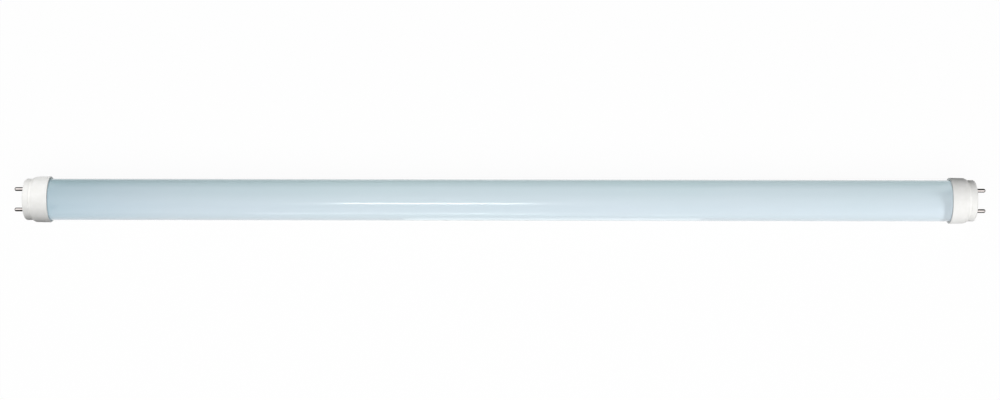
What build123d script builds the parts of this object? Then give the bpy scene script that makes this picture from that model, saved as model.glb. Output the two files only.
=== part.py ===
from build123d import *

import os
from math import radians, sqrt, tan

# Straight tube lamp of the 600 mm class, with light-emitting diodes behind opal glass.
# The lamp lies along X as it comes to rest: the diode board is stuck inside the lowest
# part of the glass, the light leaves towards +Z, and each pair of contact pins is level.
# The origin is on the surface that the lamp lies on, under the middle of its length.
# Every size is in millimetres. "Depth" is measured from a cap's outer face into the lamp.

# Whole lamp, between the outer faces of its two caps
face_span = 589.8

# Contact pins
pin_d = 2.35
pin_reach = 7.1
pin_spacing = 12.7
pin_tip_round = 1.0
pin_shoulder = 0.225
pin_flange_overhang = 0.6
pin_flange_thickness = 0.6
pin_tail_d = 1.5
pin_tail_length = 2.4
pin_fit = 0.02

# Opal glass tube
tube_d = 25.7
tube_wall = 1.0
tube_edge_round = 0.3

# End cap moulding: a nose that carries the pins, and a wider collar that takes the glass
cap_length = 15.8
face_thickness = 1.6
nose_length = 5.1
nose_wall = 1.5
nose_edge_round = 1.3
groove_width = 1.4
groove_depth = 0.2
groove_round = 0.09
collar_wall = 1.2
collar_draft = 0.2
shoulder_step = 0.65
shoulder_run = 1.6
shoulder_foot_round = 0.4
shoulder_round = 2.0
rim_land = 2.0
rim_round = 0.35
seat_web = 1.1
seat_lip = 0.5
boss_wall = 1.1
boss_height = 2.4
inner_corner_round = 0.7

# Glass in the collar: centring ribs, and a ring of adhesive between them
glue_gap = 0.25
end_gap = 0.2
rib_count = 6
rib_width = 1.4
rib_length = 6.0
rib_clearance = 0.05
glue_setback = 1.2
glue_length = 6.5
glue_skin = 0.03

# Diode board, the adhesive bed under it and the diodes on it
led_board_width = 11.0
led_board_thickness = 1.0
led_board_inset = 4.0
led_board_corner = 1.0
bed_width = 6.0
bed_setback = 3.0
led_count = 48
led_end_margin = 6.0
led_length = 2.8
led_width = 3.5
led_height = 0.7
led_rim = 0.35
led_window_depth = 0.1
led_window_round = 0.4
led_corner = 0.5

# Driver board: a tongue in the cap's pocket, and the full width inside the glass
driver_board_width = 16.2
driver_board_thickness = 1.2
tongue_width = 11.0
tongue_lead = 0.4
shoulder_lead = 2.0
pocket_fit = 0.15
pocket_wall = 1.0
pad_zone = 4.5
wire_pad_spacing = 10.4
output_pad_spacing = 6.0
board_gap = 1.6

# Parts on the driver board
part_gap = 0.4
lead_d = 0.6
lead_bend = 0.6
leg_sheet = 0.2
leg_knee = 0.35
leg_reach = 0.8
body_bevel = 0.25
fuse_d = 2.6
fuse_length = 6.6
fuse_waist_d = 2.2
fuse_bulge = 1.6
fuse_slope = 0.5
fuse_round = 0.3
fuse_lead_span = 10.0
fuse_standoff = 0.4
bridge_length = 6.4
bridge_width = 4.2
bridge_height = 2.5
bridge_leg_width = 1.1
chip_length = 4.9
chip_width = 3.9
chip_height = 1.5
chip_leg_width = 0.45
diode_length = 2.6
diode_width = 3.5
diode_height = 2.1
diode_leg_width = 1.5
resistor_length = 2.0
resistor_width = 1.25
resistor_height = 0.55
resistor_count = 3
input_cap_d = 7.8
input_cap_length = 11.5
input_cap_pitch = 3.5
output_cap_d = 6.3
output_cap_length = 9.0
output_cap_pitch = 2.5
can_crimp_setback = 1.2
can_crimp_depth = 0.6
can_crimp_width = 1.2
can_round = 0.35
choke_d = 7.4
choke_height = 7.8
choke_flange = 1.1
choke_waist_d = 3.6
choke_round = 0.25
winding_margin = 0.4
winding_clearance = 0.05

# Insulating sleeve round the driver
sleeve_wall = 0.3
sleeve_gap = 0.1

# Hook-up wires
input_wire_d = 1.2
output_wire_d = 1.0
jumper_wire_d = 1.2
wire_exit = 3.4
wire_landing = 3.2
output_loop_height = 5.0
jumper_reach = 5.5

# Radii and depths that follow from the sizes above
tube_r = tube_d / 2
glass_inner_r = tube_r - tube_wall
collar_bore_r = tube_r + glue_gap
rim_r = collar_bore_r + collar_wall
shoulder_r = rim_r - collar_draft
nose_bore_r = glass_inner_r - seat_lip
nose_r = nose_bore_r + nose_wall
groove_r = nose_r - groove_depth
seat_depth = nose_length + seat_web
glass_depth = seat_depth + end_gap
boss_depth = face_thickness + boss_height
pin_r = pin_d / 2
stem_r = pin_r + pin_shoulder
flange_r = stem_r + pin_flange_overhang
pin_hole_r = stem_r + pin_fit
boss_r = pin_hole_r + boss_wall
tail_depth = boss_depth + pin_flange_thickness + pin_tail_length

# Two rows of parts on the driver board, and what the sleeve round them has to clear
row_plus_y = (input_cap_d + part_gap) / 2
row_minus_y = -(choke_d + part_gap) / 2
sleeve_half = max(driver_board_width / 2, input_cap_d + part_gap / 2, choke_d + part_gap / 2)
sleeve_height = max(input_cap_d, choke_height, output_cap_d)

# Heights, measured from the lamp's own axis
driver_rest_r = glass_inner_r - sleeve_wall - 2 * sleeve_gap
driver_bottom = -sqrt(driver_rest_r**2 - sleeve_half**2)
driver_top = driver_bottom + driver_board_thickness
led_rest_r = glass_inner_r - rib_clearance
led_board_bottom = -sqrt(led_rest_r**2 - (led_board_width / 2) ** 2)
led_board_top = led_board_bottom + led_board_thickness

# Driver layout along the lamp: the two rows of parts, then a capacitor across both
tongue_depth = face_thickness + tongue_lead
driver_shoulder_depth = glass_depth + shoulder_lead
input_pad_depth = driver_shoulder_depth + pad_zone
sleeve_start = input_pad_depth + pad_zone / 2
parts_start = sleeve_start + 2 * part_gap
fuse_depth = parts_start + fuse_lead_span / 2
bridge_depth = parts_start + bridge_length / 2
chip_depth = bridge_depth + bridge_length / 2 + part_gap + chip_length / 2
choke_depth = chip_depth + chip_length / 2 + part_gap + choke_d / 2
diode_depth = choke_depth + choke_d / 2 + part_gap + diode_length / 2
input_cap_depth = fuse_depth + fuse_lead_span / 2 + 3 * part_gap + lead_d
rows_end = max(diode_depth + diode_length / 2, input_cap_depth + input_cap_length)
output_cap_depth = rows_end + part_gap + output_cap_d / 2
sleeve_end = output_cap_depth + output_cap_d / 2 + 2 * part_gap
output_pad_depth = sleeve_end + pad_zone / 2
driver_end_depth = output_pad_depth + pad_zone / 2

# Diode board along the lamp, from the middle of its length
led_board_x0 = -face_span / 2 + driver_end_depth + board_gap
led_board_x1 = face_span / 2 - glass_depth - led_board_inset
led_board_length = led_board_x1 - led_board_x0
led_pitch = (led_board_length - 2 * led_end_margin) / (led_count - 1)

# The lamp's axis stands one rim radius above the surface that the rims lie on.
# Each end is modelled in a frame on that axis, with X its depth.
driver_end = Pos(-face_span / 2, 0, rim_r)
far_end = Pos(face_span / 2, 0, rim_r) * Rot(0, 0, 180)
middle = Pos(0, 0, rim_r)


def turned(corners):
    """A solid turned about X. Each corner is its depth, its radius and its rounding."""
    points = [(depth, radius) for depth, radius, rounding in corners]
    roundings = [rounding for depth, radius, rounding in corners]
    outline = FilletPolyline(*points, radius=roundings, close=True)
    return revolve(make_face(outline), axis=Axis.X)


def rod(start, end, radius):
    """A round bar along X between two depths."""
    bar = Cylinder(radius, end - start, align=(Align.CENTER, Align.CENTER, Align.MIN))
    return Pos(start, 0, 0) * Rot(0, 90, 0) * bar


def bent_rod(points, diameter, radii):
    """A round rod along straight runs joined by tangent arcs."""
    path = FilletPolyline(*points, radius=radii)
    section = Plane(origin=path @ 0, z_dir=path % 0) * Circle(diameter / 2)
    return sweep(section, path=path)


def wire(points, diameter):
    """A hook-up wire, with the largest arc at each corner that its two runs allow."""
    vectors = [Vector(*point) for point in points]
    runs = [end - start for start, end in zip(vectors, vectors[1:])]
    radii = [
        0.45 * min(before.length, after.length) / tan(radians(before.get_angle(after)) / 2)
        for before, after in zip(runs, runs[1:])
    ]
    return bent_rod(points, diameter, radii)


# End caps and contact pins


def cap_shell():
    """The cap's wall: nose, shallow groove, stepped shoulder, drafted collar and seat for the glass."""
    groove_start = nose_length - groove_width
    return turned(
        [
            (0, 0, 0),
            (0, nose_r, nose_edge_round),
            (groove_start, nose_r, groove_round),
            (groove_start, groove_r, groove_round),
            (nose_length, groove_r, groove_round),
            (nose_length, groove_r + shoulder_step, shoulder_foot_round),
            (nose_length + shoulder_run, shoulder_r, shoulder_round),
            (cap_length - rim_land, rim_r, 0),
            (cap_length, rim_r, rim_round),
            (cap_length, collar_bore_r, 0),
            (seat_depth, collar_bore_r, 0),
            (seat_depth, nose_bore_r, 0),
            (face_thickness, nose_bore_r, inner_corner_round),
            (face_thickness, 0, 0),
        ]
    )


def centring_ribs(clearance=0.0):
    """Low ribs in the collar's bore that hold the glass central while it is bonded."""
    reach = glue_gap - rib_clearance
    bar = Box(
        rib_length + clearance,
        rib_width + 2 * clearance,
        reach + clearance,
        align=(Align.MIN, Align.CENTER, Align.MAX),
    )
    foot = collar_wall / 2
    root = Box(rib_length, rib_width, foot, align=(Align.MIN, Align.CENTER, Align.MIN))
    rib = Pos(seat_depth, 0, collar_bore_r) * (bar + root)
    return [Rot(360 / rib_count * (n + 0.5), 0, 0) * rib for n in range(rib_count)]


def board_pocket():
    """The pocket inside the nose that holds the driver board's tongue."""
    depth = seat_depth - face_thickness
    inside = tongue_width + 2 * pocket_fit
    gap_bottom = driver_bottom - pocket_fit
    gap_height = driver_board_thickness + 2 * pocket_fit
    block = Pos(face_thickness, 0, gap_bottom - pocket_wall) * Box(
        depth,
        inside + 2 * pocket_wall,
        gap_height + 2 * pocket_wall,
        align=(Align.MIN, Align.CENTER, Align.MIN),
    )
    slot = Pos(face_thickness, 0, gap_bottom) * Box(
        depth, inside, gap_height, align=(Align.MIN, Align.CENTER, Align.MIN)
    )
    return (block & rod(0, seat_depth, nose_bore_r + nose_wall / 4)) - slot


def end_cap():
    """One moulding, used at both ends of the lamp."""
    cap = cap_shell() + board_pocket()
    for side in (1, -1):
        place = Pos(0, side * pin_spacing / 2, 0)
        cap += place * rod(face_thickness / 2, boss_depth, boss_r)
        cap -= place * rod(0, boss_depth, pin_hole_r)
    for rib in centring_ribs():
        cap += rib
    return cap


def contact_pin():
    """A turned pin: bullet tip, shank, wider stem in the cap, flange on the boss, solder tail."""
    return turned(
        [
            (-pin_reach, 0, 0),
            (-pin_reach, pin_r, pin_tip_round),
            (0, pin_r, 0),
            (0, stem_r, 0),
            (boss_depth, stem_r, 0),
            (boss_depth, flange_r, 0),
            (boss_depth + pin_flange_thickness, flange_r, 0),
            (boss_depth + pin_flange_thickness, pin_tail_d / 2, 0),
            (tail_depth, pin_tail_d / 2, 0),
            (tail_depth, 0, 0),
        ]
    )


def cap_adhesive():
    """The thin ring of adhesive between collar and glass, with gaps for the ribs."""
    start = cap_length - glue_setback - glue_length
    ring = turned(
        [
            (start, tube_r + glue_skin, 0),
            (start, collar_bore_r - glue_skin, 0),
            (start + glue_length, collar_bore_r - glue_skin, 0),
            (start + glue_length, tube_r + glue_skin, 0),
        ]
    )
    for rib in centring_ribs(rib_clearance):
        ring -= rib
    return ring


# Glass tube


def opal_tube():
    """A drawn glass tube with fire-polished ends."""
    half = face_span / 2 - glass_depth
    return turned(
        [
            (-half, glass_inner_r, tube_edge_round),
            (-half, tube_r, tube_edge_round),
            (half, tube_r, tube_edge_round),
            (half, glass_inner_r, tube_edge_round),
        ]
    )


# Diode board


def led_board():
    """The metal-backed strip, seated by its two lower edges on the glass."""
    plate = Rectangle(led_board_length, led_board_width)
    plate = fillet(plate.vertices(), led_board_corner)
    centre = (led_board_x0 + led_board_x1) / 2
    return Pos(centre, 0, led_board_bottom) * extrude(plate, led_board_thickness)


def strip_adhesive():
    """The bed of silicone that fills the curve of the glass under the strip."""
    height = led_rest_r + led_board_bottom
    section = Circle(led_rest_r) & Pos(0, led_board_bottom) * Rectangle(
        bed_width, 2 * height, align=(Align.CENTER, Align.MAX)
    )
    length = led_board_length - 2 * bed_setback
    placed = Plane(origin=(led_board_x0 + bed_setback, 0, 0), x_dir=(0, 1, 0), z_dir=(1, 0, 0)) * section
    return extrude(placed, length)


def led_package():
    """A flat surface-mounted diode: clipped corner and a shallow window over the emitter."""
    outline = Rectangle(led_length, led_width)
    marked = outline.vertices().sort_by(lambda v: v.X + v.Y)[-1]
    outline = chamfer(marked, led_corner)
    window = RectangleRounded(led_length - 2 * led_rim, led_width - 2 * led_rim, led_window_round)
    recess = Pos(0, 0, led_height - led_window_depth) * extrude(window, led_window_depth)
    return extrude(outline, led_height) - recess


def led_packages():
    """The row of diodes along the middle of the strip."""
    package = led_package()
    first = led_board_x0 + led_end_margin
    return Compound(
        children=[Pos(first + n * led_pitch, 0, led_board_top) * package for n in range(led_count)]
    )


# Driver board and its parts


def driver_board():
    """The driver's board, with a narrower tongue towards the cap."""
    wide = Pos(driver_shoulder_depth, 0) * Rectangle(
        driver_end_depth - driver_shoulder_depth, driver_board_width, align=(Align.MIN, Align.CENTER)
    )
    tongue = Pos(tongue_depth, 0) * Rectangle(
        driver_end_depth - tongue_depth, tongue_width, align=(Align.MIN, Align.CENTER)
    )
    return Pos(0, 0, driver_bottom) * extrude(wide + tongue, driver_board_thickness)


def on_board(depth, y):
    """A place on the driver board's top face."""
    return Pos(depth, y, driver_top)


def leaded_package(length, body_width, height, leg_width, legs_per_side):
    """A moulded package with bent flat legs along its two long sides."""
    body = extrude(Rectangle(length, body_width), height - leg_sheet)
    package = Pos(0, 0, leg_sheet) * chamfer(body.edges().group_by(Axis.Z)[-1], body_bevel)
    side = body_width / 2
    upper = (height + leg_sheet) / 2
    outline = Polyline(
        (side - leg_sheet, upper),
        (side + leg_knee, upper),
        (side + leg_knee, leg_sheet),
        (side + leg_reach, leg_sheet),
        (side + leg_reach, 0),
        (side + leg_knee - leg_sheet, 0),
        (side + leg_knee - leg_sheet, upper - leg_sheet),
        (side - leg_sheet, upper - leg_sheet),
        close=True,
    )
    leg = extrude(Plane.YZ * make_face(outline), leg_width / 2, both=True)
    leg_pitch = length / legs_per_side
    for n in range(legs_per_side):
        place = Pos((n + 0.5) * leg_pitch - length / 2, 0, 0)
        package += place * leg
        package += place * Rot(0, 0, 180) * leg
    return package


def fuse_resistor():
    """A fusible resistor: a dog-bone body on two bent leads."""
    height = fuse_standoff + fuse_d / 2
    half = fuse_length / 2
    body = turned(
        [
            (-half, 0, 0),
            (-half, fuse_d / 2, fuse_round),
            (fuse_bulge - half, fuse_d / 2, fuse_round),
            (fuse_bulge + fuse_slope - half, fuse_waist_d / 2, fuse_round),
            (half - fuse_bulge - fuse_slope, fuse_waist_d / 2, fuse_round),
            (half - fuse_bulge, fuse_d / 2, fuse_round),
            (half, fuse_d / 2, fuse_round),
            (half, 0, 0),
        ]
    )
    reach = (fuse_lead_span - lead_d) / 2
    points = [(-reach, 0, -height), (-reach, 0, 0), (reach, 0, 0), (reach, 0, -height)]
    return Pos(0, 0, height) * (body + bent_rod(points, lead_d, lead_bend))


def electrolytic(diameter, length, lead_pitch):
    """A capacitor lying along X: crimped can, and two leads bent down to the board."""
    radius = diameter / 2
    crimp_middle = can_crimp_setback + can_crimp_width / 2
    crimp_end = can_crimp_setback + can_crimp_width
    can = turned(
        [
            (0, 0, 0),
            (0, radius, can_round),
            (can_crimp_setback, radius, can_round),
            (crimp_middle, radius - can_crimp_depth, can_round),
            (crimp_end, radius, can_round),
            (length, radius, can_round),
            (length, 0, 0),
        ]
    )
    out = part_gap + lead_d
    capacitor = Pos(0, 0, radius) * can
    for side in (1, -1):
        y = side * lead_pitch / 2
        points = [(lead_d, y, radius), (-out, y, radius), (-out, y, 0)]
        capacitor += bent_rod(points, lead_d, lead_bend)
    return capacitor


def choke_core():
    """The drum-shaped ferrite core, standing on the board."""
    inner = choke_height - choke_flange
    drum = turned(
        [
            (0, 0, 0),
            (0, choke_d / 2, choke_round),
            (choke_flange, choke_d / 2, choke_round),
            (choke_flange, choke_waist_d / 2, 0),
            (inner, choke_waist_d / 2, 0),
            (inner, choke_d / 2, choke_round),
            (choke_height, choke_d / 2, choke_round),
            (choke_height, 0, 0),
        ]
    )
    return Rot(0, -90, 0) * drum


def choke_winding():
    """The copper winding between the drum's flanges."""
    bottom = choke_flange + winding_clearance
    top = choke_height - choke_flange - winding_clearance
    coil = turned(
        [
            (bottom, choke_waist_d / 2 + winding_clearance, 0),
            (bottom, choke_d / 2 - winding_margin, winding_margin),
            (top, choke_d / 2 - winding_margin, winding_margin),
            (top, choke_waist_d / 2 + winding_clearance, 0),
        ]
    )
    return Rot(0, -90, 0) * coil


def sense_resistors():
    """Chip resistors in a line between the bridge and the fuse."""
    chip = Box(resistor_length, resistor_width, resistor_height, align=(Align.MIN, Align.CENTER, Align.MIN))
    y = row_minus_y + bridge_width / 2 + leg_reach + part_gap + resistor_width / 2
    pitch = resistor_length + 2 * part_gap
    return Compound(
        children=[on_board(parts_start + n * pitch, y) * chip for n in range(resistor_count)]
    )


def sleeve_outline(margin):
    """The driver's outline across the lamp, with a margin all round."""
    half = sleeve_half + margin
    bottom = driver_bottom - margin
    top = driver_top + sleeve_height + margin
    corners = [(-half, bottom), (half, bottom), (half, top), (-half, top)]
    rounds = [margin, margin, input_cap_d / 2 + margin, choke_round + margin]
    return make_face(FilletPolyline(*corners, radius=rounds, close=True))


def driver_sleeve():
    """The shrunk film sleeve round the driver, open at both ends."""
    section = sleeve_outline(sleeve_gap + sleeve_wall) - sleeve_outline(sleeve_gap)
    across = Plane(origin=(sleeve_start, 0, 0), x_dir=(0, 1, 0), z_dir=(1, 0, 0))
    return extrude(across * section, sleeve_end - sleeve_start)


# Hook-up wires


def input_wire(side):
    """From one pin's tail down to its pad on the driver board."""
    pin_y = side * pin_spacing / 2
    pad_y = side * wire_pad_spacing / 2
    points = [
        (tail_depth, pin_y, 0),
        (tail_depth + wire_exit, pin_y, 0),
        (input_pad_depth, pad_y, driver_top + wire_landing),
        (input_pad_depth, pad_y, driver_top),
    ]
    return wire(points, input_wire_d)


def output_wire(side):
    """A loop from the driver board over its edge to the diode board."""
    y = side * output_pad_spacing / 2
    led_pad_depth = driver_end_depth + board_gap + led_end_margin / 2
    points = [
        (output_pad_depth, y, driver_top),
        (output_pad_depth, y, driver_top + output_loop_height),
        (led_pad_depth, y, driver_top + output_loop_height - output_wire_d),
        (led_pad_depth, y, led_board_top),
    ]
    return wire(points, output_wire_d)


def jumper_wire():
    """The link that joins the two pins of the cap that takes no supply."""
    y = pin_spacing / 2
    end = tail_depth + jumper_reach
    points = [(tail_depth, y, 0), (end, y, 0), (end, -y, 0), (tail_depth, -y, 0)]
    return wire(points, jumper_wire_d)


def driver_parts():
    """The parts that stand on the driver board, in the driver end's own frame."""
    bridge = leaded_package(bridge_length, bridge_width, bridge_height, bridge_leg_width, 2)
    chip = leaded_package(chip_length, chip_width, chip_height, chip_leg_width, 4)
    diode = leaded_package(diode_length, diode_width, diode_height, diode_leg_width, 1)
    input_cap = electrolytic(input_cap_d, input_cap_length, input_cap_pitch)
    output_cap = electrolytic(output_cap_d, output_cap_length, output_cap_pitch)
    choke_place = on_board(choke_depth, row_minus_y)
    output_cap_place = on_board(output_cap_depth, output_cap_length / 2) * Rot(0, 0, -90)
    return {
        "fuse_resistor": on_board(fuse_depth, row_plus_y) * fuse_resistor(),
        "bridge_rectifier": on_board(bridge_depth, row_minus_y) * bridge,
        "driver_chip": on_board(chip_depth, row_minus_y) * chip,
        "freewheel_diode": on_board(diode_depth, row_minus_y) * diode,
        "sense_resistors": sense_resistors(),
        "input_capacitor": on_board(input_cap_depth, row_plus_y) * input_cap,
        "output_capacitor": output_cap_place * output_cap,
        "choke_core": choke_place * choke_core(),
        "choke_winding": choke_place * choke_winding(),
    }


def lamp_nodes():
    """Every node of the lamp, in place."""
    cap = end_cap()
    glue = cap_adhesive()
    nodes = {
        "opal_glass_tube": middle * opal_tube(),
        "driver_end_cap": driver_end * cap,
        "far_end_cap": far_end * cap,
        "driver_end_adhesive": driver_end * glue,
        "far_end_adhesive": far_end * glue,
        "led_board": middle * led_board(),
        "led_packages": middle * led_packages(),
        "strip_adhesive": middle * strip_adhesive(),
        "driver_board": driver_end * driver_board(),
        "driver_sleeve": driver_end * driver_sleeve(),
        "far_end_jumper": far_end * jumper_wire(),
    }
    for number, side in ((1, 1), (2, -1)):
        pin = Pos(0, side * pin_spacing / 2, 0) * contact_pin()
        nodes[f"driver_end_pin_{number}"] = driver_end * pin
        nodes[f"far_end_pin_{number}"] = far_end * pin
        nodes[f"input_wire_{number}"] = driver_end * input_wire(side)
        nodes[f"output_wire_{number}"] = driver_end * output_wire(side)
    for name, shape in driver_parts().items():
        nodes[name] = driver_end * shape
    return nodes


os.makedirs("parts", exist_ok=True)
for name, shape in lamp_nodes().items():
    export_step(shape, f"parts/{name}.step")
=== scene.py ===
import math

import bpy
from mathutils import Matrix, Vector

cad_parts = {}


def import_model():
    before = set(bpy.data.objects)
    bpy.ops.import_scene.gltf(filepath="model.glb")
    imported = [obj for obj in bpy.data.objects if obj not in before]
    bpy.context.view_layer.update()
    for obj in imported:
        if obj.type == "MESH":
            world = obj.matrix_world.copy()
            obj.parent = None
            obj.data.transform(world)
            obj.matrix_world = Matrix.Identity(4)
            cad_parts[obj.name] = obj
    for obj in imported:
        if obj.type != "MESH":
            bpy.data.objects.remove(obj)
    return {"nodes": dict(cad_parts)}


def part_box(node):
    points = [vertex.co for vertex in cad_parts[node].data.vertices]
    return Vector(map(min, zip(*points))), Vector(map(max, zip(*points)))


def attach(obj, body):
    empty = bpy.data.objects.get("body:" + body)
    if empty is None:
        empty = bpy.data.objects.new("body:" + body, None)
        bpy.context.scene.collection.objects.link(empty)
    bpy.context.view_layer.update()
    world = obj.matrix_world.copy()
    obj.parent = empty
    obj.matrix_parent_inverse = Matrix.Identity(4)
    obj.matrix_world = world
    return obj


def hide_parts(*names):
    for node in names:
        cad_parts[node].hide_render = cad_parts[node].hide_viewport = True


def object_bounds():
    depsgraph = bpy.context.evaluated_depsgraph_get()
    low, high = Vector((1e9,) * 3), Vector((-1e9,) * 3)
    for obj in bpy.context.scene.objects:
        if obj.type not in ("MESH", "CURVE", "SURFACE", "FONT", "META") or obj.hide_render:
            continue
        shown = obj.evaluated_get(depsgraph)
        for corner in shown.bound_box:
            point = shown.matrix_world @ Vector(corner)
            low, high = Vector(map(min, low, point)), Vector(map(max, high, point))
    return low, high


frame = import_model()
cad_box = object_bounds()
nodes = frame["nodes"]

# Metres, in the frame of the CAD model: +X along the lamp, +Z up, the way its light leaves.
MM = 0.001
AXIS_HEIGHT = (cad_box[0].z + cad_box[1].z) / 2
CAP_CENTRE = 287.0 * MM
RIM_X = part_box("far_end_cap")[0].x

# The photograph: 1000 x 400 pixels, taken from straight above, +X to the right and +Y up. The distance
# is that of the lamp's axis, and the frame's half width is measured there.
CAMERA_DISTANCE = 1260 * MM
HALF_FRAME = 311.15 * MM
SENSOR_WIDTH = 36.0
CAMERA_ROLL = math.radians(0.095)
CAMERA_DRIFT = Vector((0.0, 0.05 * MM, 0.0))

# Sizes of the glass tube, and how finely it is turned
TUBE_RADIUS = 12.85 * MM
TUBE_WALL = 1.0 * MM
TUBE_EDGE_ROUND = 0.3 * MM
TUBE_SEGMENTS = 192
TUBE_RINGS = 32
EDGE_STEPS = 4
SAME_PLACE = 1e-7

# Grain that is as long each way, and the part of a noise's range that colour and roughness follow
EVEN = (1.0, 1.0, 1.0)
NOISE_LOW, NOISE_HIGH = 0.3, 0.7


# Helpers for nodes

def add(tree, kind, **settings):
    """A shader node of that kind, with its properties set."""
    node = tree.nodes.new(kind)
    for name, value in settings.items():
        setattr(node, name, value)
    return node


def link(tree, source, target):
    """Joins an output socket to an input socket."""
    tree.links.new(source, target)


def place(tree, stretch=EVEN):
    """The object's own coordinates in metres, scaled by stretch along each axis."""
    where = add(tree, "ShaderNodeTexCoord")
    mapping = add(tree, "ShaderNodeMapping")
    mapping.inputs["Scale"].default_value = stretch
    link(tree, where.outputs["Object"], mapping.inputs["Vector"])
    return mapping.outputs["Vector"]


def noise(tree, size, detail=3.0, stretch=EVEN):
    """Noise whose features are about size across, as a value near 0 to 1."""
    texture = add(tree, "ShaderNodeTexNoise")
    texture.inputs["Scale"].default_value = 1.0 / size
    texture.inputs["Detail"].default_value = detail
    link(tree, place(tree, stretch), texture.inputs["Vector"])
    return texture.outputs["Fac"]


def ramp(tree, source, stops):
    """A colour that follows source through the stops, which are pairs of place and colour."""
    node = add(tree, "ShaderNodeValToRGB")
    points = node.color_ramp.elements
    while len(points) < len(stops):
        points.new(0.5)
    for point, (at, colour) in zip(points, stops):
        point.position = at
        point.color = (*colour, 1.0)
    link(tree, source, node.inputs["Fac"])
    return node.outputs["Color"]


def tones(tree, source, dark, light, start=NOISE_LOW):
    """A colour that follows a noise from dark, up to start, to light."""
    return ramp(tree, source, ((start, dark), (NOISE_HIGH, light)))


def remap(tree, source, low, high, to_low=0.0, to_high=1.0):
    """Source between low and high, mapped to the range from to_low to to_high."""
    node = add(tree, "ShaderNodeMapRange")
    for name, value in (("From Min", low), ("From Max", high), ("To Min", to_low), ("To Max", to_high)):
        node.inputs[name].default_value = value
    link(tree, source, node.inputs["Value"])
    return node.outputs["Result"]


def math_node(tree, operation, first, second):
    """The result of a math node on two values, each an output socket or a number."""
    node = add(tree, "ShaderNodeMath", operation=operation)
    for socket, value in zip(node.inputs, (first, second)):
        if isinstance(value, (int, float)):
            socket.default_value = value
        else:
            link(tree, value, socket)
    return node.outputs["Value"]


def mix_colour(tree, factor, first, second, blend="MIX"):
    """Two colours mixed by a value; each is an output socket or a plain colour."""
    node = add(tree, "ShaderNodeMix", data_type="RGBA", blend_type=blend)
    sockets = [s for s in node.inputs if s.type == "RGBA"]
    for socket, value in zip(sockets, (first, second)):
        if isinstance(value, tuple):
            socket.default_value = (*value, 1.0)
        else:
            link(tree, value, socket)
    if isinstance(factor, (int, float)):
        node.inputs["Factor"].default_value = factor
    else:
        link(tree, factor, node.inputs["Factor"])
    return next(s for s in node.outputs if s.type == "RGBA")


def axis_value(tree, axis):
    """One of the object's own coordinates, in metres."""
    split = add(tree, "ShaderNodeSeparateXYZ")
    link(tree, place(tree), split.inputs["Vector"])
    return split.outputs[axis]


def relief(tree, shader, grain, smooth, rough, depth):
    """Roughness from smooth to rough, and a surface raised up to depth, that follow a noise."""
    follow = remap(tree, grain, NOISE_LOW, NOISE_HIGH, smooth, rough)
    link(tree, follow, shader.inputs["Roughness"])
    raised = add(tree, "ShaderNodeBump")
    raised.inputs["Distance"].default_value = depth
    link(tree, grain, raised.inputs["Height"])
    link(tree, raised.outputs["Normal"], shader.inputs["Normal"])


def new_material(name, **constants):
    """A material with its node tree and principled shader; constants go to the shader's own sockets."""
    made = bpy.data.materials.new(name)
    made.use_nodes = True
    shader = made.node_tree.nodes["Principled BSDF"]
    for socket, value in constants.items():
        shader.inputs[socket.replace("_", " ")].default_value = value
    return made, made.node_tree, shader


# Materials of the outer pieces

# Index of refraction of the glass, of its skin and of the caps' plastic
REFRACTION = 1.5

# Colour of the glass along its length, from 0 at the driver's end to 1 at the far end: painted shade that
# darkens the glass towards the driver's end
DRIFT_REACH = 290 * MM
GLASS_PAINTED_SHADE = (
    (0.0, (0.48, 0.62, 0.705)),
    (0.15, (0.60, 0.712, 0.785)),
    (0.35, (0.66, 0.768, 0.835)),
    (1.0, (0.67, 0.775, 0.845)),
)

# Cloud in the glass: its size, detail and stretch, and the two tints that it lies between
CLOUD_GRAIN = (30 * MM, 2.0, (0.35, 1.0, 1.0))
CLOUD_TINTS = ((0.97, 0.99, 0.985), (1.0, 0.995, 1.0))

# Tones of plastic and metal: size, dark colour, light colour, and the noise up to which it is dark
OUTER_TONES = {
    "cap_plastic": (4 * MM, (0.83, 0.825, 0.80), (0.88, 0.875, 0.86), NOISE_LOW),
    "contact_metal": (1.5 * MM, (0.80, 0.735, 0.71), (0.93, 0.875, 0.85), 0.35),
}

# Fine grain of the outer pieces: size, detail, stretch, roughness from and to, depth
OUTER_GRAINS = {
    "opal_glass": (1.2 * MM, 2.0, (0.02, 1.0, 1.0), 0.16, 0.24, 0.004 * MM),
    "cap_plastic": (0.25 * MM, 2.0, EVEN, 0.34, 0.46, 0.006 * MM),
    "contact_metal": (0.12 * MM, 1.0, (1.0, 0.04, 0.04), 0.06, 0.14, 0.004 * MM),
}


def fine_grain(tree, shader, slot):
    """The fine grain of an outer piece, in its roughness and relief."""
    size, detail, stretch, smooth, rough, depth = OUTER_GRAINS[slot]
    relief(tree, shader, noise(tree, size, detail, stretch), smooth, rough, depth)


def outer_tones(tree, shader, slot):
    """The two tones of an outer piece of plastic or metal."""
    size, dark, light, start = OUTER_TONES[slot]
    link(tree, tones(tree, noise(tree, size), dark, light, start), shader.inputs["Base Color"])


def opal_glass():
    """Frosted blue-white glass, drawn in faint lines, with a fire-polished skin. Its colour holds painted
    shade that darkens it towards the driver's end."""
    made, tree, shader = new_material(
        "opal_glass", IOR=REFRACTION, Coat_Weight=0.6, Coat_Roughness=0.06, Coat_IOR=REFRACTION,
    )
    along = remap(tree, axis_value(tree, "X"), -DRIFT_REACH, DRIFT_REACH)
    cloud = remap(tree, noise(tree, *CLOUD_GRAIN), NOISE_LOW, NOISE_HIGH)
    tinted = mix_colour(tree, cloud, *CLOUD_TINTS)
    # Painted shade: the glass's colour is multiplied darker towards the driver's end
    body = mix_colour(tree, 1.0, ramp(tree, along, GLASS_PAINTED_SHADE), tinted, "MULTIPLY")
    link(tree, body, shader.inputs["Base Color"])
    fine_grain(tree, shader, "opal_glass")
    return made


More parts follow.
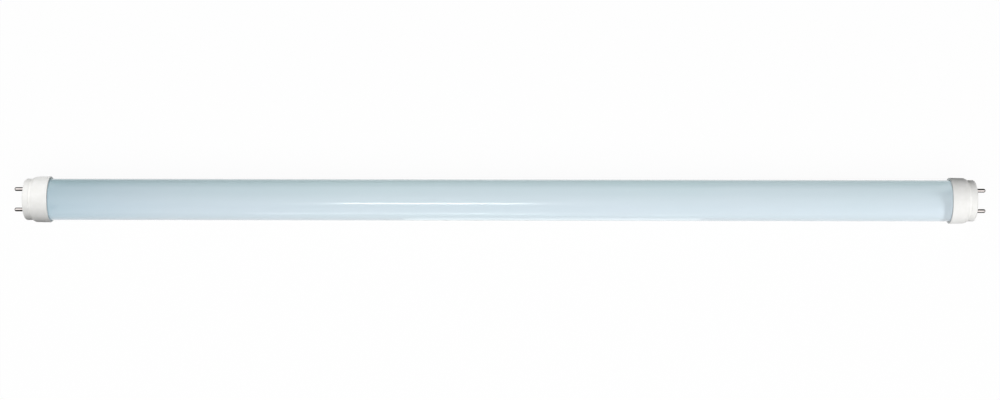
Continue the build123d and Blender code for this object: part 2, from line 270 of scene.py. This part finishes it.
def cap_plastic():
    """White moulded plastic with the fine texture of its mould."""
    made, tree, shader = new_material("cap_plastic", IOR=REFRACTION)
    outer_tones(tree, shader, "cap_plastic")
    fine_grain(tree, shader, "cap_plastic")
    return made


def contact_metal():
    """Nickel-plated brass pins with the fine rings of turning."""
    made, tree, shader = new_material("contact_metal", Metallic=1.0)
    outer_tones(tree, shader, "contact_metal")
    fine_grain(tree, shader, "contact_metal")
    return made


# Materials of the inner pieces

# Slot: dark colour, light colour, size of its grain in mm, stretch of the grain, roughness from and to,
# depth of the grain in mm, metallic
PLAIN_FINISHES = {
    "board_aluminium": ((0.78, 0.79, 0.78), (0.85, 0.85, 0.83), 0.6, (0.2, 1, 1), 0.35, 0.5, 0.01, 0.0),
    "emitter": ((0.80, 0.79, 0.75), (0.87, 0.86, 0.83), 0.3, EVEN, 0.3, 0.5, 0.01, 0.0),
    "silicone": ((0.74, 0.74, 0.72), (0.82, 0.82, 0.80), 1.2, EVEN, 0.4, 0.6, 0.12, 0.0),
    "circuit_board": ((0.02, 0.11, 0.05), (0.03, 0.16, 0.07), 0.5, (1, 0.2, 1), 0.3, 0.45, 0.02, 0.0),
    "moulded_black": ((0.018, 0.018, 0.02), (0.035, 0.035, 0.036), 0.15, EVEN, 0.45, 0.65, 0.01, 0.0),
    "resistor_body": ((0.15, 0.32, 0.44), (0.22, 0.42, 0.55), 0.4, EVEN, 0.35, 0.55, 0.02, 0.0),
    "capacitor_sleeve": ((0.02, 0.02, 0.026), (0.04, 0.04, 0.05), 1.5, EVEN, 0.2, 0.35, 0.02, 0.0),
    "ferrite": ((0.03, 0.03, 0.032), (0.07, 0.07, 0.072), 0.25, EVEN, 0.5, 0.75, 0.03, 0.0),
    "winding_copper": ((0.45, 0.14, 0.05), (0.70, 0.28, 0.12), 0.3, (0.05, 0.05, 1), 0.2, 0.35, 0.08, 1.0),
    "sleeve_film": ((0.66, 0.70, 0.71), (0.75, 0.78, 0.80), 3.0, EVEN, 0.12, 0.25, 0.05, 0.0),
    "wire_white": ((0.70, 0.70, 0.68), (0.80, 0.80, 0.78), 0.8, EVEN, 0.35, 0.5, 0.01, 0.0),
    "wire_red": ((0.40, 0.02, 0.02), (0.55, 0.035, 0.03), 0.8, EVEN, 0.35, 0.5, 0.01, 0.0),
    "wire_black": ((0.02, 0.02, 0.022), (0.04, 0.04, 0.042), 0.8, EVEN, 0.35, 0.5, 0.01, 0.0),
}
FILM_ALPHA = 0.45

# Patch on a finish: dark colour, light colour, metallic
PATCHES = {
    "tin": ((0.58, 0.58, 0.57), (0.76, 0.76, 0.74), 1.0),
    "aluminium": ((0.62, 0.63, 0.64), (0.78, 0.79, 0.80), 1.0),
    "phosphor": ((0.80, 0.58, 0.12), (0.88, 0.72, 0.24), 0.0),
    "lacquer_gap": ((0.62, 0.63, 0.62), (0.68, 0.69, 0.68), 0.0),
    "track": ((0.04, 0.22, 0.09), (0.07, 0.30, 0.13), 0.0),
    "fibreglass": ((0.42, 0.44, 0.22), (0.55, 0.56, 0.32), 0.0),
    "brown": ((0.16, 0.05, 0.02), (0.22, 0.07, 0.03), 0.0),
    "black": ((0.015, 0.015, 0.015), (0.03, 0.03, 0.03), 0.0),
    "gold": ((0.50, 0.34, 0.08), (0.62, 0.44, 0.12), 0.0),
    "pale": ((0.62, 0.63, 0.64), (0.72, 0.73, 0.74), 0.0),
}
PATCH_GRAIN = 0.5 * MM

# Sizes of the inner pieces that their patches follow. STRIPE_DEPTH is a share of a capacitor's radius, and
# SKIN the depth of a thin layer or half the width of a narrow gap.
DIODE_COUNT = 48
DIODE_LENGTH = 2.8 * MM
DIODE_WIDTH = 3.5 * MM
DIODE_RIM = 0.35 * MM
SENSE_COUNT = 3
SENSE_LENGTH = 2.0 * MM
SENSE_END = 0.35 * MM
LEG_REACH = 0.8 * MM
RESISTOR_LENGTH = 6.6 * MM
CAPACITOR_LEAD = 1.3 * MM
STRIPE_DEPTH = 0.06
LAND_HALF = 4.2 * MM
SKIN = 0.1 * MM

# Bands of the fusible resistor: place of the middle from that of the body, in mm, and patch
RESISTOR_BANDS = ((-1.9, "brown"), (-0.9, "black"), (0.1, "black"), (1.7, "gold"))
BAND_WIDTH = 0.45 * MM

# Capacitor: the axis that it lies along, and 0 or 1 for its leads at the low or high end
CAPACITORS = {"input_capacitor": ("X", 0), "output_capacitor": ("Y", 1)}

# Lands of copper on the driver board, in mm: laid like bricks, each third row of them shorter
LAND_LAYOUT = {"offset": 0.37, "squash": 0.45, "squash_frequency": 3}
LAND_SIZES = {"Scale": 1 / MM, "Brick Width": 9.5, "Row Height": 2.9, "Mortar Size": 0.15}


def plain_finish(slot, **constants):
    """A material of the table of plain finishes, with its node tree and shader."""
    dark, light, size, stretch, smooth, rough, depth, metallic = PLAIN_FINISHES[slot]
    made, tree, shader = new_material(slot, Metallic=metallic, **constants)
    grain = noise(tree, size * MM, stretch=stretch)
    link(tree, tones(tree, grain, dark, light), shader.inputs["Base Color"])
    relief(tree, shader, grain, smooth, rough, depth * MM)
    return made, tree, shader


def patch(tree, shader, name, *masks):
    """Lays a patch over the shader's finish where all the masks are 1."""
    dark, light, metallic = PATCHES[name]
    mask = masks[0]
    for other in masks[1:]:
        mask = math_node(tree, "MULTIPLY", mask, other)
    colour = tones(tree, noise(tree, PATCH_GRAIN), dark, light)
    base, metal = shader.inputs["Base Color"], shader.inputs["Metallic"]
    link(tree, mix_colour(tree, mask, base.links[0].from_socket, colour), base)
    if metallic:
        before = metal.links[0].from_socket if metal.links else metal.default_value
        link(tree, math_node(tree, "MAXIMUM", before, mask), metal)


def above(tree, value, limit):
    """1 where the value is over the limit."""
    return math_node(tree, "GREATER_THAN", value, limit)


def below(tree, value, limit):
    """1 where the value is under the limit."""
    return math_node(tree, "LESS_THAN", value, limit)


def away_from(tree, axis, start):
    """How far a point lies along an axis from a place on it, either way."""
    return math_node(tree, "ABSOLUTE", math_node(tree, "SUBTRACT", axis_value(tree, axis), start), 0.0)


def middle_of(name, axis):
    """The middle of a node along an axis, and half its length there."""
    low, high = (getattr(corner, axis.lower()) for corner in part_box(name))
    return (low + high) / 2, (high - low) / 2


def row_pitch(name, length, count):
    """How far apart a node's like pieces stand in their row along X."""
    return (2 * middle_of(name, "X")[1] - length) / (count - 1)


def along_row(tree, name, length, count):
    """How far along X a point lies from the middle of the nearest of a node's like pieces in a row."""
    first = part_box(name)[0].x + length / 2
    from_first = math_node(tree, "SUBTRACT", axis_value(tree, "X"), first)
    return math_node(tree, "PINGPONG", from_first, row_pitch(name, length, count) / 2)


def diodes():
    """White packages, each with a sunk window of yellow phosphor."""
    made, tree, shader = plain_finish("emitter")
    along = along_row(tree, "led_packages", DIODE_LENGTH, DIODE_COUNT)
    across = away_from(tree, "Y", middle_of("led_packages", "Y")[0])
    top = above(tree, axis_value(tree, "Z"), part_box("led_packages")[1].z - 2 * SKIN)
    patch(tree, shader, "phosphor", top, below(tree, along, DIODE_LENGTH / 2 - DIODE_RIM),
          below(tree, across, DIODE_WIDTH / 2 - DIODE_RIM))
    return made


def diode_board():
    """White lacquer over copper lands parted by narrow gaps, on a bare aluminium plate."""
    made, tree, shader = plain_finish("board_aluminium")
    half_pitch = row_pitch("led_packages", DIODE_LENGTH, DIODE_COUNT) / 2
    along = along_row(tree, "led_packages", DIODE_LENGTH, DIODE_COUNT)
    across = away_from(tree, "Y", middle_of("led_board", "Y")[0])
    between, beside = above(tree, along, half_pitch - SKIN), above(tree, across, LAND_HALF - 2 * SKIN)
    for gap in (between, beside):
        patch(tree, shader, "lacquer_gap", gap, below(tree, across, LAND_HALF))
    patch(tree, shader, "aluminium", below(tree, axis_value(tree, "Z"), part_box("led_board")[1].z - SKIN))
    return made


def circuit_board():
    """Green lacquer over lands of copper, with pale glass cloth at its sawn edges."""
    made, tree, shader = plain_finish("circuit_board")
    lands = add(tree, "ShaderNodeTexBrick", **LAND_LAYOUT)
    for name, value in LAND_SIZES.items():
        lands.inputs[name].default_value = value
    link(tree, place(tree), lands.inputs["Vector"])
    patch(tree, shader, "track", math_node(tree, "SUBTRACT", 1.0, lands.outputs["Fac"]))
    middle, half = middle_of("driver_board", "Z")
    patch(tree, shader, "fibreglass", below(tree, away_from(tree, "Z", middle), half - SKIN))
    return made


def resistor():
    """A blue body with its bands, and tinned wires at both ends."""
    made, tree, shader = plain_finish("resistor_body")
    middle, _ = middle_of("fuse_resistor", "X")
    for offset, colour in RESISTOR_BANDS:
        from_band = away_from(tree, "X", middle + offset * MM)
        patch(tree, shader, colour, below(tree, from_band, BAND_WIDTH / 2))
    patch(tree, shader, "tin", above(tree, away_from(tree, "X", middle), RESISTOR_LENGTH / 2))
    return made


def capacitor(name):
    """A dark sleeve with one pale stripe along it, tinned leads, and the can's bare end."""
    made, tree, shader = plain_finish("capacitor_sleeve")
    axis, end = CAPACITORS[name]
    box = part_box(name)
    from_leads = away_from(tree, axis, getattr(box[end], axis.lower()))
    length = 2 * middle_of(name, axis)[1]
    radius = middle_of(name, "Z")[1]
    patch(tree, shader, "pale", above(tree, axis_value(tree, "Z"), box[1].z - STRIPE_DEPTH * radius))
    patch(tree, shader, "aluminium", above(tree, from_leads, length - SKIN))
    patch(tree, shader, "tin", below(tree, from_leads, CAPACITOR_LEAD))
    return made


def legged_package(name):
    """Black moulded resin with tinned legs on its two long sides."""
    made, tree, shader = plain_finish("moulded_black")
    middle, half = middle_of(name, "Y")
    patch(tree, shader, "tin", above(tree, away_from(tree, "Y", middle), half - LEG_REACH))
    return made


def chip_resistors():
    """Black chips with tinned ends."""
    made, tree, shader = plain_finish("moulded_black")
    along = along_row(tree, "sense_resistors", SENSE_LENGTH, SENSE_COUNT)
    patch(tree, shader, "tin", above(tree, along, SENSE_LENGTH / 2 - SENSE_END))
    return made


def all_finishes():
    """The material of each slot of the record, and of each node that has its own, by name."""
    made = {"opal_glass": opal_glass(), "cap_plastic": cap_plastic(), "contact_metal": contact_metal()}
    for slot in ("silicone", "ferrite", "winding_copper", "wire_white", "wire_red", "wire_black"):
        made[slot] = plain_finish(slot)[0]
    made["sleeve_film"] = plain_finish("sleeve_film", Alpha=FILM_ALPHA)[0]
    made["emitter"], made["board_aluminium"] = diodes(), diode_board()
    made["circuit_board"], made["resistor_body"] = circuit_board(), resistor()
    made["sense_resistors"] = chip_resistors()
    for name in CAPACITORS:
        made[name] = capacitor(name)
    for name in ("bridge_rectifier", "driver_chip", "freewheel_diode"):
        made[name] = legged_package(name)
    return made


def dress(finishes):
    """Gives each CAD node its own finish, or that of the slot that its packed material names."""
    for name, node in nodes.items():
        for slot in node.material_slots:
            slot.material = finishes.get(name) or finishes[slot.material.name.split(".")[0]]


# The glass tube

def in_scene(name, content):
    """A new object in the scene that holds a mesh, a lamp or a camera."""
    made = bpy.data.objects.new(name, content)
    bpy.context.scene.collection.objects.link(made)
    return made


def arc(centre_x, centre_r, start):
    """Points of a rounded edge: a quarter turn clockwise from the angle start, its two ends with them."""
    found = []
    for step in range(EDGE_STEPS + 1):
        angle = math.radians(start - 90 * step / EDGE_STEPS)
        x, r = TUBE_EDGE_ROUND * math.cos(angle), TUBE_EDGE_ROUND * math.sin(angle)
        found.append((centre_x + x, centre_r + r))
    return found


def tube_section(half_length):
    """The wall's outline, from the outer side's left end round to the inner side: pairs of x and radius."""
    outer, inner = TUBE_RADIUS, TUBE_RADIUS - TUBE_WALL
    edge = TUBE_EDGE_ROUND
    flat = half_length - edge
    along = [2 * flat * step / TUBE_RINGS for step in range(TUBE_RINGS + 1)]
    points = [(x - flat, outer) for x in along]
    points += arc(flat, outer - edge, 90) + arc(flat, inner + edge, 0)
    points += [(flat - x, inner) for x in along]
    return points + arc(-flat, inner + edge, 270) + arc(-flat, outer - edge, 180)


def without_repeats(points):
    """The points with no two neighbours in the same place."""
    kept = []
    for point in points:
        if not kept or math.dist(point, kept[-1]) > SAME_PLACE:
            kept.append(point)
    if math.dist(kept[0], kept[-1]) <= SAME_PLACE:
        kept.pop()
    return kept


def turned(name, section):
    """A mesh of the section turned about the lamp's axis."""
    count = len(section)
    points, faces = [], []
    for turn in range(TUBE_SEGMENTS):
        angle = 2 * math.pi * turn / TUBE_SEGMENTS
        side, up = math.cos(angle), math.sin(angle)
        points += [(x, r * side, AXIS_HEIGHT + r * up) for x, r in section]
        here, there = turn * count, (turn + 1) % TUBE_SEGMENTS * count
        for first in range(count):
            second = (first + 1) % count
            faces.append((here + first, here + second, there + second, there + first))
    mesh = bpy.data.meshes.new(name)
    mesh.from_pydata(points, [], faces)
    mesh.update()
    for face in mesh.polygons:
        face.use_smooth = True
    return mesh


def glass_tube(finish):
    """The tube's wall turned about the lamp's axis, smooth at any distance."""
    low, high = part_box("opal_glass_tube")
    mesh = turned("glass_tube", without_repeats(tube_section((high.x - low.x) / 2)))
    mesh.materials.append(finish)
    tube = in_scene("glass_tube", mesh)
    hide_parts("opal_glass_tube")
    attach(tube, "root")
    return tube


# The studio

# Half the floor's side; its grey for the light that it throws back, and its grey where it is seen; the
# share of plain white in what is seen, which leaves the lamp's shadow faint
FLOOR_REACH = 6.0
FLOOR_BOUNCE = (0.12, 0.12, 0.12)
FLOOR_SHOWN = (0.9, 0.9, 0.9)
FLOOR_WHITENESS = 0.955

# Colour and level of the even surround, and the white that it shows itself
SURROUND = (0.97, 0.99, 1.0)
SURROUND_LEVEL = 0.10
PLAIN_WHITE = (1.0, 1.0, 1.0)

# Lamps of the far end's cap, which the driver's end has turned half round about +Z: name, degrees from
# straight up towards +Y, distance from the axis, place out from the cap's middle, size, power
CAP_LAMPS = (
    ("box", -6, 1.0, 0.105, (0.5, 0.6), 9.6),
    ("side", -85, 0.5, 0.05, (0.3, 0.08), 0.72),
    ("beyond", 0, 0.12, 0.5, (0.4, 0.2), 0.35),
    ("bounce", 180, 0.25, 0.12, (0.4, 0.5), 2.4),
)

# Lamps of the glass: name, degrees from straight up towards +Y, distance from the axis, x of the lamp,
# x that it faces, size, power, colour, whether it shows in gloss
GLASS_LAMPS = (
    ("glass_top", 0, 1.1, -0.25, -0.25, (1.6, 0.9), 8.8, PLAIN_WHITE, False),
    ("glass_back", 80, 0.6, 0.14, 0.14, (1.1, 0.4), 2.75, (0.90, 1.0, 0.95), False),
    ("glass_front", -80, 0.6, -0.1, -0.1, (1.2, 0.4), 3.0, PLAIN_WHITE, False),
    ("glass_far", -48, 0.28, 1.2, RIM_X, (0.1, 0.1), 9.5, PLAIN_WHITE, False),
    ("streak_box", -19.8, 1.15, -0.078, -0.078, (0.23, 0.11), 0.82, PLAIN_WHITE, True),
)

# Lamp of the floor: degrees from straight up towards +Y, distance from the axis, size, power
FLOOR_BOX = (-25, 1.6, (2.4, 1.6), 36.0)

# Cards that show only in gloss: their colours, and the strengths of the strip lamps
DARK = (0.01, 0.008, 0.008)
GREY_GREEN = (0.34, 0.44, 0.43)
COOL_WHITE = (0.95, 1.0, 1.0)
HIGH_GLOW, LOW_GLOW, FLOOR_GLOW = 7.5, 3.5, 1.7

# How high a lying card is off the floor
FLOOR_LIFT = 0.3 * MM

# Dark cards: how far they stand from the axis and how far out they reach; where those of the pins start
# and how high over the axis they rise; how high the one along a collar rises
CARD_APART = 50 * MM
CARD_OUT = 0.36
PINS_NEAR, PINS_RISE = 0.290, 25 * MM
CAP_RISE = 80 * MM

# Grey-green cards: where the lying one starts and ends behind the glass, and the standing one's top
BACK_NEAR, BACK_FAR, BACK_TOP = 0.028, 0.6, 0.19

# Strip lamps: stretches of x on the glass that their streaks span; y, foot and top of a standing one; from
# and to in x, and in y, of the lying one
HIGH_STREAKS = ((-0.1525, -0.1175), (-0.1045, -0.0835), (-0.0715, 0.028))
HIGH_STRIP = (-1.0, 0.12, 0.16)
LOW_STREAKS = ((0.079, 0.082), (0.095, 0.1225), (0.1475, 0.1535))
LOW_STRIP = (-0.2, 7 * MM, 16 * MM)
FLOOR_STRIP = (-0.059, 0.124, -0.048, -0.024)


def empty_tree(owner):
    """The node tree of a material or a world, cleared of its first nodes."""
    owner.use_nodes = True
    owner.node_tree.nodes.clear()
    return owner.node_tree


def is_seen(tree):
    """1 for the rays that show the background: straight from the camera, off gloss, or through glass."""
    path = add(tree, "ShaderNodeLightPath")
    either = math_node(tree, "MAXIMUM", path.outputs["Is Camera Ray"], path.outputs["Is Glossy Ray"])
    return math_node(tree, "MAXIMUM", either, path.outputs["Is Transmission Ray"])


def lit_or_white(tree, factor, lit, white, output):
    """Ends the tree in an output node of that kind. It takes the shader lit, and as much of the shader
    white as the factor says."""
    blend = add(tree, "ShaderNodeMixShader")
    out = add(tree, output)
    link(tree, factor, blend.inputs["Fac"])
    link(tree, lit, blend.inputs[1])
    link(tree, white, blend.inputs[2])
    link(tree, blend.outputs["Shader"], out.inputs["Surface"])


def sheet(name, corners, material):
    """A flat object of four corners, in the scene."""
    mesh = bpy.data.meshes.new(name)
    mesh.from_pydata(corners, [], [(0, 1, 2, 3)])
    mesh.materials.append(material)
    return in_scene(name, mesh)


def floor():
    """A large pale floor under the lamp that shows white, with the lamp's shadow kept in part."""
    made = bpy.data.materials.new("floor")
    tree = empty_tree(made)
    matt = add(tree, "ShaderNodeBsdfDiffuse")
    link(tree, mix_colour(tree, is_seen(tree), FLOOR_BOUNCE, FLOOR_SHOWN), matt.inputs["Color"])
    white = add(tree, "ShaderNodeEmission")
    factor = math_node(tree, "MULTIPLY", is_seen(tree), FLOOR_WHITENESS)
    output = "ShaderNodeOutputMaterial"
    lit_or_white(tree, factor, matt.outputs["BSDF"], white.outputs["Emission"], output)
    signs = ((-1, -1), (1, -1), (1, 1), (-1, 1))
    plane = sheet("floor", [(x * FLOOR_REACH, y * FLOOR_REACH, 0.0) for x, y in signs], made)
    return plane


def background(tree, colour, level):
    """The shader of an even surround of that colour and level."""
    shader = add(tree, "ShaderNodeBackground")
    shader.inputs["Color"].default_value = (*colour, 1.0)
    shader.inputs["Strength"].default_value = level
    return shader.outputs["Background"]


def world():
    """The even surround, which lights faintly and shows white."""
    made = bpy.data.worlds.new("studio")
    bpy.context.scene.world = made
    tree = empty_tree(made)
    lit, white = background(tree, SURROUND, SURROUND_LEVEL), background(tree, PLAIN_WHITE, 1.0)
    lit_or_white(tree, is_seen(tree), lit, white, "ShaderNodeOutputWorld")


def softbox(name, position, target, size, power, lights, shows=False, colour=PLAIN_WHITE):
    """A rectangular lamp at position that faces target, its width level. It lights only the objects in
    lights, and shows in gloss only where shows is true."""
    lamp = bpy.data.lights.new(name, "AREA")
    lamp.shape = "RECTANGLE"
    lamp.size, lamp.size_y = size
    lamp.energy = power
    lamp.color = colour
    made = in_scene(name, lamp)
    made.location = position
    made.rotation_euler = (Vector(target) - Vector(position)).to_track_quat("-Z", "Y").to_euler()
    made.visible_camera = False
    made.visible_glossy = shows
    made.light_linking.receiver_collection = lights
    return made


def group(name, members):
    """A collection of objects that lamps can be aimed at alone."""
    made = bpy.data.collections.new(name)
    for member in members:
        made.objects.link(member)
    return made


def sky_position(degrees, distance, x=0.0):
    """A point at that distance from the axis, its direction turned from straight up towards +Y."""
    angle = math.radians(degrees)
    return (x, distance * math.sin(angle), AXIS_HEIGHT + distance * math.cos(angle))


def cap_lamps(end, side):
    """Soft boxes of one cap alone. The one under the floor stands for the light that a white floor throws
    back, so only the cap stops it."""
    members = group(end, [node for name, node in nodes.items() if name.startswith(end)])
    cap = (side * CAP_CENTRE, 0.0, AXIS_HEIGHT)
    for name, degrees, distance, out, size, power in CAP_LAMPS:
        position = sky_position(side * degrees, distance, side * (CAP_CENTRE + out))
        lamp = softbox(f"{end}_{name}", position, cap, size, power, members)
        if position[2] < 0:
            lamp.light_linking.blocker_collection = members


def lamps(tube, ground):
    """The photograph's light: soft boxes of its own for each cap, broader ones for the glass, and one for
    the floor."""
    cap_lamps("driver_end", -1)
    cap_lamps("far_end", 1)
    glass = group("glass", [tube])
    for name, degrees, distance, x, faced, size, power, colour, shows in GLASS_LAMPS:
        position = sky_position(degrees, distance, x)
        softbox(name, position, (faced, 0.0, AXIS_HEIGHT), size, power, glass, shows, colour)
    degrees, distance, size, power = FLOOR_BOX
    middle = (0.0, 0.0, AXIS_HEIGHT)
    softbox("floor_box", sky_position(degrees, distance), middle, size, power, group("ground", [ground]))


def gloss_card(name, corners, colour, strength=1.0):
    """A glowing card that shows only in gloss: a dark one is a studio's flag, a bright one its strip
    lamp."""
    made = bpy.data.materials.new(name)
    tree = empty_tree(made)
    glow = add(tree, "ShaderNodeEmission")
    glow.inputs["Color"].default_value = (*colour, 1.0)
    glow.inputs["Strength"].default_value = strength
    out = add(tree, "ShaderNodeOutputMaterial")
    link(tree, glow.outputs["Emission"], out.inputs["Surface"])
    card = sheet(name, corners, made)
    for kind in ("camera", "diffuse", "transmission", "volume_scatter", "shadow"):
        setattr(card, f"visible_{kind}", False)


def spread(x, away):
    """The x of a camera ray that meets the lamp at x, once it has been thrown away sideways that far."""
    return x * (1 + abs(away) / CAMERA_DISTANCE)


def lying(x_near, x_far, y_near, y_far, height):
    """Corners of a level card between two distances from the axis, its ends along the thrown rays."""
    corners = ((x_near, y_near), (x_far, y_near), (x_far, y_far), (x_near, y_far))
    return [(spread(x, y), y, height) for x, y in corners]


def standing(x_near, x_far, y, low, high):
    """Corners of an upright card at one distance from the axis, its ends along the thrown rays."""
    corners = ((x_near, low), (x_far, low), (x_far, high), (x_near, high))
    return [(spread(x, y), y, z) for x, z in corners]


def crossing(x, apart, low, high):
    """Corners of an upright card across the lamp's axis, as wide to both sides of it."""
    return [(x, -apart, low), (x, apart, low), (x, apart, high), (x, -apart, high)]


def dark_cards():
    """Cards on both sides of each pair of pins, under it and beyond it, which draw the pins' edges. The
    ones on the shaded side of each cap reach along its collar and higher up, and draw its edge too."""
    lift = 2 * FLOOR_LIFT
    for side in (-1, 1):
        out = side * CARD_OUT
        gloss_card(f"pin_end_{side}", crossing(out, CARD_APART, lift, CARD_APART), DARK)
        for edge in (-1, 1):
            near, rise = (RIM_X, CAP_RISE) if edge == side else (PINS_NEAR, PINS_RISE)
            apart, mark = edge * CARD_APART, f"{side}_{edge}"
            gloss_card(f"pin_floor_{mark}", lying(side * near, out, 0.0, apart, lift), DARK)
            upright = standing(side * near, out, apart, lift, AXIS_HEIGHT + rise)
            gloss_card(f"pin_card_{mark}", upright, DARK)


def gloss_cards():
    """The dark cards; two grey-green ones behind the glass; strip lamps before it, which draw the thin
    streaks on its lower half."""
    dark_cards()
    gloss_card("back_floor", lying(-RIM_X, RIM_X, BACK_NEAR, BACK_FAR, FLOOR_LIFT), GREY_GREEN)
    gloss_card("back_card", standing(-RIM_X, RIM_X, BACK_FAR, FLOOR_LIFT, BACK_TOP), GREY_GREEN)
    for streak in HIGH_STREAKS:
        gloss_card("high_strip", standing(*streak, *HIGH_STRIP), COOL_WHITE, HIGH_GLOW)
    for streak in LOW_STREAKS:
        gloss_card("low_strip", standing(*streak, *LOW_STRIP), COOL_WHITE, LOW_GLOW)
    gloss_card("floor_strip", lying(*FLOOR_STRIP, FLOOR_LIFT), COOL_WHITE, FLOOR_GLOW)


def camera():
    """Looks straight down on the lamp from the photograph's distance."""
    lens = bpy.data.cameras.new("camera")
    lens.sensor_width = SENSOR_WIDTH
    lens.lens = SENSOR_WIDTH / 2 * CAMERA_DISTANCE / HALF_FRAME
    made = in_scene("camera", lens)
    made.location = Vector((0.0, 0.0, AXIS_HEIGHT + CAMERA_DISTANCE)) + CAMERA_DRIFT
    made.rotation_euler = (0.0, 0.0, CAMERA_ROLL)
    bpy.context.scene.camera = made


finishes = all_finishes()
dress(finishes)
tube = glass_tube(finishes["opal_glass"])
ground = floor()
world()
lamps(tube, ground)
gloss_cards()
camera()
bpy.context.scene.view_settings.view_transform = "Standard"
